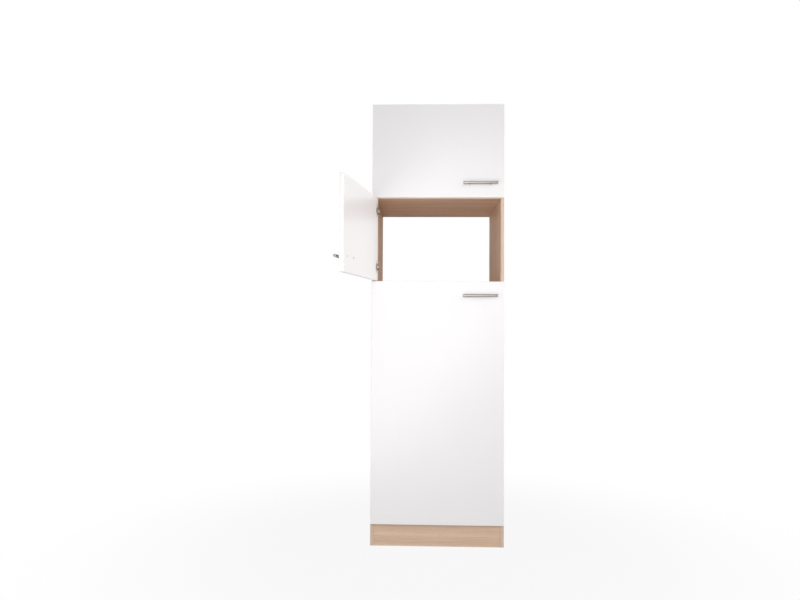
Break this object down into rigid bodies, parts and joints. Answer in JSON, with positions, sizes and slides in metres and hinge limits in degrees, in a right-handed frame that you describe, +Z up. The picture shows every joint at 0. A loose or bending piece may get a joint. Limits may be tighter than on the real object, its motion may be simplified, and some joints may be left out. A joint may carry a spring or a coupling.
{
  "type": "appliance housing cabinet",
  "caption": "Tall kitchen housing cabinet: oak-decor carcass with an open-backed niche, white doors on concealed hinges, round bar handles and a plinth; the middle door stands open.",
  "frame": {"origin": "middle of the plinth board's bottom face, on the floor", "axes": "+Z up, +X to the right as seen from the front, +Y from the doors to the wall"},
  "size_m": [0.7072, 1.177, 2],
  "materials": {
    "oak_decor": "light oak decor on chipboard, matt",
    "hardboard": "white-faced hardboard",
    "white_front": "white semi-gloss foil on board",
    "brushed_nickel": "brushed",
    "hinge_steel": "nickel plated"
  },
  "bodies": {
    "carcass": {"side_panel_left": "oak_decor", "side_panel_right": "oak_decor", "top_panel": "oak_decor", "upper_shelf": "oak_decor", "lower_shelf": "oak_decor", "bottom_panel": "oak_decor", "plinth_board": "oak_decor", "middle_rail": "oak_decor", "bottom_rail": "oak_decor", "top_back": "hardboard", "top_hinge_lower_plate": "hinge_steel", "top_hinge_lower_arm": "hinge_steel", "top_hinge_upper_plate": "hinge_steel", "top_hinge_upper_arm": "hinge_steel", "middle_hinge_lower_plate": "hinge_steel", "middle_hinge_lower_arm": "hinge_steel", "middle_hinge_upper_plate": "hinge_steel", "middle_hinge_upper_arm": "hinge_steel", "bottom_hinge_lower_plate": "hinge_steel", "bottom_hinge_lower_arm": "hinge_steel", "bottom_hinge_middle_plate": "hinge_steel", "bottom_hinge_middle_arm": "hinge_steel", "bottom_hinge_upper_plate": "hinge_steel", "bottom_hinge_upper_arm": "hinge_steel"},
    "top_links": {"top_hinge_lower_link": "hinge_steel", "top_hinge_upper_link": "hinge_steel"},
    "top_front": {"top_door": "white_front", "top_handle_bar": "brushed_nickel", "top_handle_post_left": "brushed_nickel", "top_handle_post_right": "brushed_nickel", "top_handle_screw_left": "hinge_steel", "top_handle_screw_right": "hinge_steel", "top_hinge_lower_cup": "hinge_steel", "top_hinge_upper_cup": "hinge_steel"},
    "middle_links": {"middle_hinge_lower_link": "hinge_steel", "middle_hinge_upper_link": "hinge_steel"},
    "middle_front": {"middle_door": "white_front", "middle_handle_bar": "brushed_nickel", "middle_handle_post_left": "brushed_nickel", "middle_handle_post_right": "brushed_nickel", "middle_handle_screw_left": "hinge_steel", "middle_handle_screw_right": "hinge_steel", "middle_hinge_lower_cup": "hinge_steel", "middle_hinge_upper_cup": "hinge_steel"},
    "bottom_links": {"bottom_hinge_lower_link": "hinge_steel", "bottom_hinge_middle_link": "hinge_steel", "bottom_hinge_upper_link": "hinge_steel"},
    "bottom_front": {"bottom_door": "white_front", "bottom_handle_bar": "brushed_nickel", "bottom_handle_post_left": "brushed_nickel", "bottom_handle_post_right": "brushed_nickel", "bottom_handle_screw_left": "hinge_steel", "bottom_handle_screw_right": "hinge_steel", "bottom_hinge_lower_cup": "hinge_steel", "bottom_hinge_middle_cup": "hinge_steel", "bottom_hinge_upper_cup": "hinge_steel"}
  },
  "joints": [
    {"name": "top_link_swing", "type": "hinge", "parent": "carcass", "child": "top_links", "pos_m": [-0.2705, -0.008, 0], "axis": [0, 0, 1], "range_deg": [0, 55]},
    {"name": "top_door_swing", "type": "hinge", "parent": "top_links", "child": "top_front", "pos_m": [-0.2885, -0.014, 0], "axis": [0, 0, -1], "range_deg": [0, 165]},
    {"name": "middle_link_swing", "type": "hinge", "parent": "carcass", "child": "middle_links", "pos_m": [-0.2705, -0.008, 0], "axis": [0, 0, 1], "range_deg": [-49.4, 5.6]},
    {"name": "middle_door_swing", "type": "hinge", "parent": "middle_links", "child": "middle_front", "pos_m": [-0.27766, -0.02557, 0], "axis": [0, 0, -1], "range_deg": [-148.2, 16.8]},
    {"name": "bottom_link_swing", "type": "hinge", "parent": "carcass", "child": "bottom_links", "pos_m": [-0.2705, -0.008, 0], "axis": [0, 0, 1], "range_deg": [0, 55]},
    {"name": "bottom_door_swing", "type": "hinge", "parent": "bottom_links", "child": "bottom_front", "pos_m": [-0.2885, -0.014, 0], "axis": [0, 0, -1], "range_deg": [0, 165]}
  ],
  "couplings": [
    {"joint": "top_door_swing", "follows": "top_link_swing", "ratio": 3},
    {"joint": "middle_door_swing", "follows": "middle_link_swing", "ratio": 3},
    {"joint": "bottom_door_swing", "follows": "bottom_link_swing", "ratio": 3}
  ]
}
